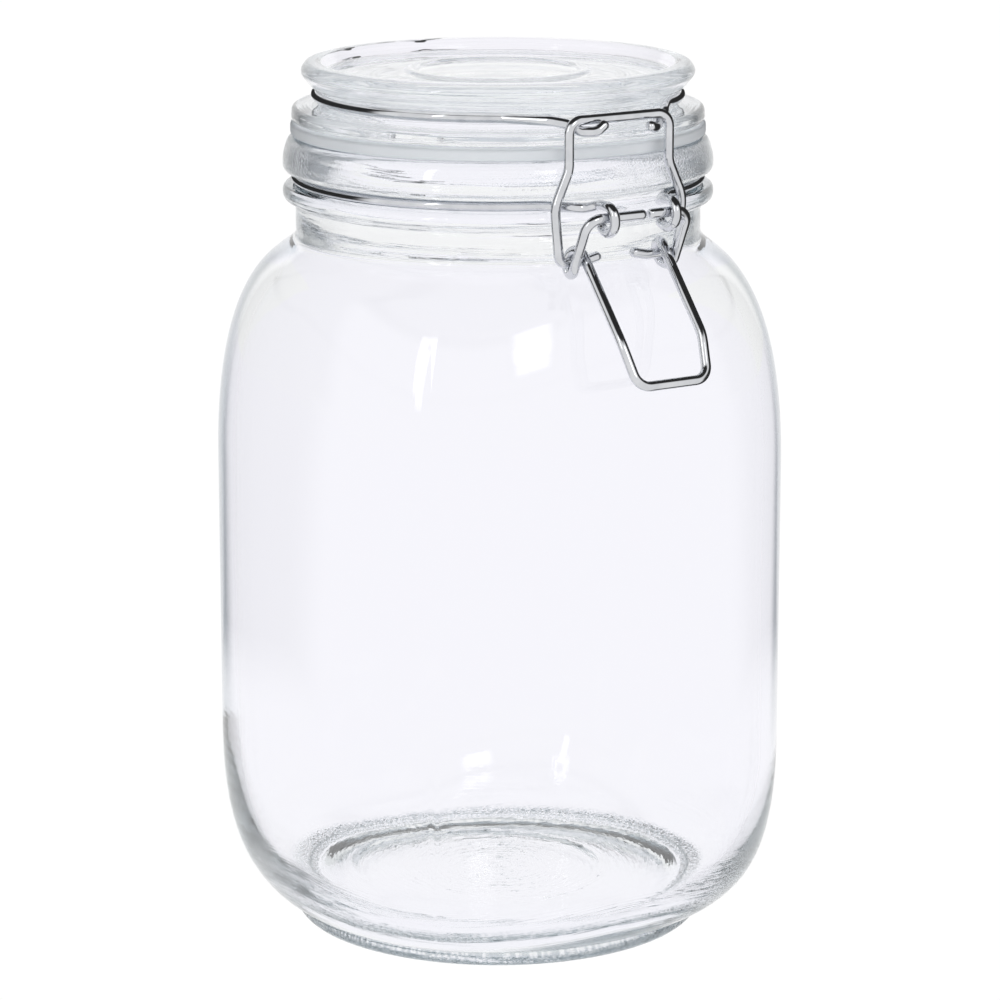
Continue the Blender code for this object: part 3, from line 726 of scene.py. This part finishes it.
def lidWirePath():  # hook under the link's bar, ring, hinge bar at the back, ring, hook
    w = lidWire
    hingeOut, hingeUp = wire["hinge"]
    up = lid["grooveUp"]
    ring = ringArc(w["ring"], up, *w["arc"])
    back = bendPath([
        (ring[-1], 0), (place(w["hingeBar"] + 5.0, 3.2 - w["ring"], up), 5),
        (place(w["hingeBar"] + 0.4, hingeOut + 7.0, up), 4),
        (place(w["hingeBar"], hingeOut + 0.8, up - 1.2), 3),
        (place(w["hingeBar"], hingeOut, hingeUp), 2), (place(0, hingeOut, hingeUp), 0)])[1:]
    halves = []
    for side in ("left", "right"):
        hook = w["hooks"][side][::-1]
        leave = bendPath([(place(*p), bend) for p, bend in zip(hook, w["hookBends"])]
                         + [(place(*w["exit"], up), 10), (ring[0], 0)])[:-1]
        halves.append(np.concatenate([leave, ring, back]))
    left, right = halves
    return np.concatenate([left * [-1, 1, 1], right[::-1][1:]])


link = {
    "top": 195.6, "topHalf": 13.3, "narrowUp": 184.8, "wideHalf": 17.0, "wideUp": 176.8,
    "footHalf": 15.8, "leftTip": 5.2, "rightTip": 3.5, "tipRise": 0.9,
}


def linkHalf(tip):  # stub in the lever's coil, leg, shoulder and half of the top bar
    k, (out, up) = link, wire["coil"]
    return bendPath([
        (place(tip, out, up + k["tipRise"]), 0), (place(tip + 4, out, up), 3),
        (place(k["footHalf"], out, up), 1.8), (place(k["wideHalf"], out, k["wideUp"]), 8),
        (place(k["topHalf"], out, k["narrowUp"]), 6), (place(k["topHalf"], out, k["top"]), 3),
        (place(0, out, k["top"]), 0)])


def linkPath():
    return np.concatenate([linkHalf(link["rightTip"]), mirrored(linkHalf(link["leftTip"]))[1:]])


lever = {
    "crank": 13.4, "arm": 10.7, "elbow": (10.7, 66.9, 148.6),
    "handle": (9.2, 71.3, 139.4), "leftStub": 1.6, "rightStub": 2.6,
}


def leverHalf(stubEnd):  # stub in the neck wire's eye, crank, coil round the link, arm, handle's end
    v, (pivotOut, pivotUp), (coilOut, coilUp) = lever, wire["pivot"], wire["coil"]
    elbow, handle = v["elbow"], v["handle"]
    span = np.hypot(pivotOut - coilOut, pivotUp - coilUp)
    toCoil = np.arctan2(coilUp - pivotUp, coilOut - pivotOut)
    meets = degrees(toCoil + np.arcsin(wire["curl"] / span) + pi / 2)  # the crank runs into the coil
    reach = np.hypot(elbow[1] - coilOut, elbow[2] - coilUp)
    toElbow = np.arctan2(elbow[2] - coilUp, elbow[1] - coilOut)
    leaves = degrees(toElbow + np.arccos(wire["curl"] / reach))        # and leaves it for the elbow
    leaves -= 360 * np.ceil((leaves - meets) / 360)
    coil = curlRound(wire["coil"], v["crank"], v["arm"], meets, leaves)
    crank = bendPath([(place(stubEnd, pivotOut, pivotUp), 0),
                      (place(v["crank"], pivotOut, pivotUp), 3.4), (coil[0], 0)])[:-1]
    arm = bendPath([(coil[-1], 0), (place(*elbow), 12),
                    (place(*handle), 3.6), (place(0, *handle[1:]), 0)])[1:]
    return np.concatenate([crank, coil, arm])


def leverPath():
    return np.concatenate([leverHalf(lever["rightStub"]), mirrored(leverHalf(-lever["leftStub"]))[1:]])


camera = {
    "azimuth": -32.6, "pitch": 13.3, "distance": 945.0, "height": 322.3,
    "focalPixels": 4120.0, "framePixels": 1000.0, "sensor": 36.0,
    "axisLeft": 2.0,          # pixels by which the jar's axis stands left of the frame's middle
}
towardsCamera = (sin(radians(camera["azimuth"])), -cos(radians(camera["azimuth"])), 0)


def makeCamera():
    c = camera
    data = bpy.data.cameras.new("studioCamera")
    data.sensor_width = c["sensor"]
    data.lens = c["sensor"] * c["focalPixels"] / c["framePixels"]
    data.clip_start, data.clip_end = 0.05, 50
    shot = bpy.data.objects.new("studioCamera", data)
    turn = radians(c["azimuth"])
    shot.location = Vector((sin(turn) * c["distance"], axisY - cos(turn) * c["distance"],
                            c["height"])) * mm
    heading = -turn + atan(c["axisLeft"] / c["focalPixels"])
    shot.rotation_euler = (pi / 2 - radians(c["pitch"]), 0, -heading)
    bpy.context.scene.collection.objects.link(shot)
    bpy.context.scene.camera = shot


studio = {
    "floorHalf": 6.0,         # metres
    "floorDrop": 0.05,        # mm under the jar, so that the two faces do not fight
    "white": 1.02,            # lit paper and screens, just past full white
    "throughGlass": "#F7F6FC",
    # what glass sees through itself, by the upward part of the direction: the screen, the falling
    # light above it and the bright ceiling
    "glassSky": [(0.0, 0.96), (0.25, 0.95), (0.28, 0.75), (0.32, 0.95), (0.66, 0.94),
                 (0.72, 0.45), (0.77, 0.45), (0.81, 1.0), (1.0, 1.1)],
    "front": 0.95,            # the room behind the camera, as polished faces mirror it
    "back": 1.0,              # the lit screen behind the table
    "dim": 0.32,              # black flags at both sides and above, as glass mirrors them
    "dark": 0.03,             # the same flags, as steel mirrors them
    # where each of these fades in: 1 is straight in front or overhead, -1 straight behind
    "frontSide": (-0.30, 0.05), "backSide": (-0.74, -0.86),
    "frontUp": (0.85, 0.55), "backUp": (0.42, 0.32),
    "wireAhead": (0.02, 0.32), "wireUp": (0.82, 0.64),
    "wireHeight": 0.17,       # metres; how high the wire work stands over the floor it mirrors
    "nearJar": (0.36, 0.22),  # metres; the paper close to the jar stays lit in mirrors too
    "aimHeight": 0.10,        # metres; the spot that the panels face
    # azimuth and elevation from the camera's side, distance, width, height, power
    "panels": {
        "softboxLeft": (-38, 27, 1.5, 0.18, 0.95, 4.2),
        "softboxRight": (31, 32, 1.5, 0.66, 0.56, 3.6),
    },
    "panelFade": ((1.0, 0.45), (1.0, 0.6)),  # across and up, 1 being the edge
}


# How far a direction or a spot lies to the camera's side: 1 in front, 0 beside, -1 behind.
def addSide(tree, source, output):
    flat = addNode(tree, "VectorMath", {"operation": "MULTIPLY", 1: (1, 1, 0)},
                   {0: (source, output)})
    unit = addNode(tree, "VectorMath", {"operation": "NORMALIZE"}, {0: flat})
    return addNode(tree, "VectorMath", {"operation": "DOT_PRODUCT", 1: towardsCamera}, {0: unit})


# What bright wire mirrors in a direction: the lit front half of the room, with its ceiling and
# the whole back black, so that every wire gets a dark edge.
def addWireSight(tree, source, output):
    unit = addNode(tree, "VectorMath", {"operation": "NORMALIZE"}, {0: (source, output)})
    ahead = addNode(tree, "VectorMath", {"operation": "DOT_PRODUCT", 1: towardsCamera}, {0: unit})
    split = addNode(tree, "SeparateXYZ", {}, {"Vector": unit})
    inFront = addNode(tree, "MapRange", {**smooth, **between(studio["wireAhead"])},
                      {"Value": (ahead, "Value")})
    below = addNode(tree, "MapRange", {**smooth, **between(studio["wireUp"])},
                    {"Value": (split, "Z")})
    lit = addNode(tree, "Math", {"operation": "MULTIPLY"}, {0: inFront, 1: below})
    return addNode(tree, "MapRange",
                   {**smooth, "To Min": studio["dark"], "To Max": studio["front"]}, {"Value": lit})


# White paper on the table. Polished faces mirror it with the black flags standing on both sides.
def makeFloor():
    material, tree = newMaterial("litPaper")
    spot = addNode(tree, "TexCoord")
    side = addSide(tree, spot, "Object")
    front = addNode(tree, "MapRange",
                    {**smooth, **between(studio["frontSide"]), "To Min": studio["dim"],
                     "To Max": studio["front"]}, {"Value": (side, "Value")})
    back = addNode(tree, "MapRange", {**smooth, **between(studio["backSide"])},
                   {"Value": (side, "Value")})
    away = addNode(tree, "VectorMath", {"operation": "LENGTH"}, {0: (spot, "Object")})
    near = addNode(tree, "MapRange", {**smooth, **between(studio["nearJar"])},
                   {"Value": (away, "Value")})
    farPart = addNode(tree, "Math", {"operation": "MAXIMUM"}, {0: front, 1: back})
    inGlass = addNode(tree, "Math", {"operation": "MAXIMUM"}, {0: farPart, 1: near})
    fromWire = addNode(tree, "VectorMath",
                       {"operation": "SUBTRACT", 1: (0, 0, studio["wireHeight"])},
                       {0: (spot, "Object")})
    onSteel = addWireSight(tree, fromWire, "Vector")
    ray = addNode(tree, "LightPath")
    inMirrors = addNode(tree, "Mix", {"data_type": "FLOAT"},
                        {0: (ray, "Is Singular Ray"), 2: onSteel, 3: inGlass})
    power = addNode(tree, "Mix", {"data_type": "FLOAT", 2: studio["white"]},
                    {0: (ray, "Is Reflection Ray"), 3: inMirrors})
    cast = addNode(tree, "Mix",
                   {"data_type": "RGBA", 6: (1, 1, 1, 1), 7: hexToLinear(studio["throughGlass"])},
                   {0: (ray, "Is Transmission Ray")})
    light = addNode(tree, "Emission", {}, {"Color": (cast, 2), "Strength": power})
    addNode(tree, "OutputMaterial", {}, {"Surface": light})
    half = studio["floorHalf"]
    mesh = bpy.data.meshes.new("floor")
    mesh.from_pydata([(-half, -half, 0), (half, -half, 0), (half, half, 0), (-half, half, 0)],
                     [], [(0, 1, 2, 3)])
    mesh.materials.append(material)
    floor = bpy.data.objects.new("floor", mesh)
    floor.location = (0, axisY * mm, -studio["floorDrop"] * mm)
    bpy.context.scene.collection.objects.link(floor)


# The room: a lit screen behind, a grey front and black flags at the sides in mirrors; through
# glass, a sky that falls off above the screen and brightens overhead.
def makeRoom():
    world = bpy.data.worlds.new("studioRoom")
    bpy.context.scene.world = world
    world.use_nodes = True
    tree = world.node_tree
    tree.nodes.clear()
    spot = addNode(tree, "TexCoord")
    split = addNode(tree, "SeparateXYZ", {}, {"Vector": (spot, "Generated")})
    side = addSide(tree, spot, "Generated")
    zones = []
    for zone in ("front", "back"):
        ahead, up = studio[zone + "Side"], studio[zone + "Up"]
        wide = addNode(tree, "MapRange", {**smooth, **between(ahead), "To Max": studio[zone]},
                       {"Value": (side, "Value")})
        low = addNode(tree, "MapRange", {**smooth, **between(up)}, {"Value": (split, "Z")})
        zones.append(addNode(tree, "Math", {"operation": "MULTIPLY"}, {0: wide, 1: low}))
    both = addNode(tree, "Math", {"operation": "MAXIMUM"}, {0: zones[0], 1: zones[1]})
    inGlass = addNode(tree, "Math", {"operation": "MAXIMUM", 1: studio["dim"]}, {0: both})
    onSteel = addWireSight(tree, spot, "Generated")
    ray = addNode(tree, "LightPath")
    inMirrors = addNode(tree, "Mix", {"data_type": "FLOAT"},
                        {0: (ray, "Is Singular Ray"), 2: onSteel, 3: inGlass})
    sky = addNode(tree, "ValToRGB", {}, {"Fac": (split, "Z")})
    stops = sky.color_ramp.elements
    while len(stops) < len(studio["glassSky"]):
        stops.new(0.5)
    for stop, (position, grey) in zip(stops, studio["glassSky"]):
        stop.position = position
        stop.color = (grey, grey, grey, 1)
    seen = addNode(tree, "Mix", {"data_type": "FLOAT"},
                   {0: (ray, "Is Reflection Ray"), 2: sky, 3: inMirrors})
    power = addNode(tree, "Mix", {"data_type": "FLOAT", 3: studio["white"]},
                    {0: (ray, "Is Camera Ray"), 2: seen})
    light = addNode(tree, "Background", {"Color": (1, 1, 1, 1)}, {"Strength": power})
    addNode(tree, "OutputWorld", {}, {"Surface": light})


# Soft light panels that stand outside the picture and face the jar, fading towards their edges.
def makePanel(name, azimuth, elevation, distance, width, height, power):
    material, tree = newMaterial(name)
    cloth = addNode(tree, "UVMap", {"uv_map": "cloth"})
    fold = addNode(tree, "VectorMath", {"operation": "ABSOLUTE"}, {0: cloth})
    split = addNode(tree, "SeparateXYZ", {}, {"Vector": fold})
    across, upward = (
        addNode(tree, "MapRange", {**smooth, **between(edge)}, {"Value": (split, way)})
        for way, edge in zip("XY", studio["panelFade"]))
    fade = addNode(tree, "Math", {"operation": "MULTIPLY"}, {0: across, 1: upward})
    strength = addNode(tree, "Math", {"operation": "MULTIPLY", 1: power}, {0: fade})
    light = addNode(tree, "Emission", {"Color": (1, 1, 1, 1)}, {"Strength": strength})
    clear = addNode(tree, "BsdfTransparent")
    share = addNode(tree, "MixShader", {}, {0: fade, 1: clear, 2: light})
    addNode(tree, "OutputMaterial", {}, {"Surface": share})
    turn, tilt = radians(camera["azimuth"] + azimuth), radians(elevation)
    aim = Vector((0, axisY * mm, studio["aimHeight"]))
    out = Vector((sin(turn) * cos(tilt), -cos(turn) * cos(tilt), sin(tilt)))
    right = Vector((cos(turn), sin(turn), 0)) * width / 2
    up = out.cross(right).normalized() * height / 2
    middle = aim + out * distance
    corners = [middle - right - up, middle + right - up, middle + right + up, middle - right + up]
    mesh = bpy.data.meshes.new(name)
    mesh.from_pydata([tuple(c) for c in corners], [], [(0, 1, 2, 3)])
    mesh.uv_layers.new(name="cloth").data.foreach_set("uv", [-1, -1, 1, -1, 1, 1, -1, 1])
    mesh.materials.append(material)
    panel = bpy.data.objects.new(name, mesh)
    bpy.context.scene.collection.objects.link(panel)
    panel.visible_camera = False


def setLook():
    scene = bpy.context.scene
    scene.view_settings.view_transform = "Standard"
    scene.cycles.max_bounces = 32             # light runs a long way along a glass wall
    scene.cycles.transmission_bounces = 22
    scene.cycles.glossy_bounces = 24
    scene.cycles.blur_glossy = 0.0


makeBody(makeGlass("pressedSodaLimeBody"))
makeLid(makeGlass("pressedSodaLimeLid"))
makeSeal(makeRubber())
steel = makeSteel()
makeWire("neckWireRound", neckWirePath(), "jar", "neck_wire", steel)
makeWire("lidWireHooked", lidWirePath(), "lid", "lid_wire", steel)
makeWire("linkLoop", linkPath(), "link", "link", steel)
makeWire("leverHandle", leverPath(), "lever", "lever", steel)
makeFloor()
makeRoom()
for panelName, panelPlace in studio["panels"].items():
    makePanel(panelName, *panelPlace)
makeCamera()
setLook()
print("studio set")
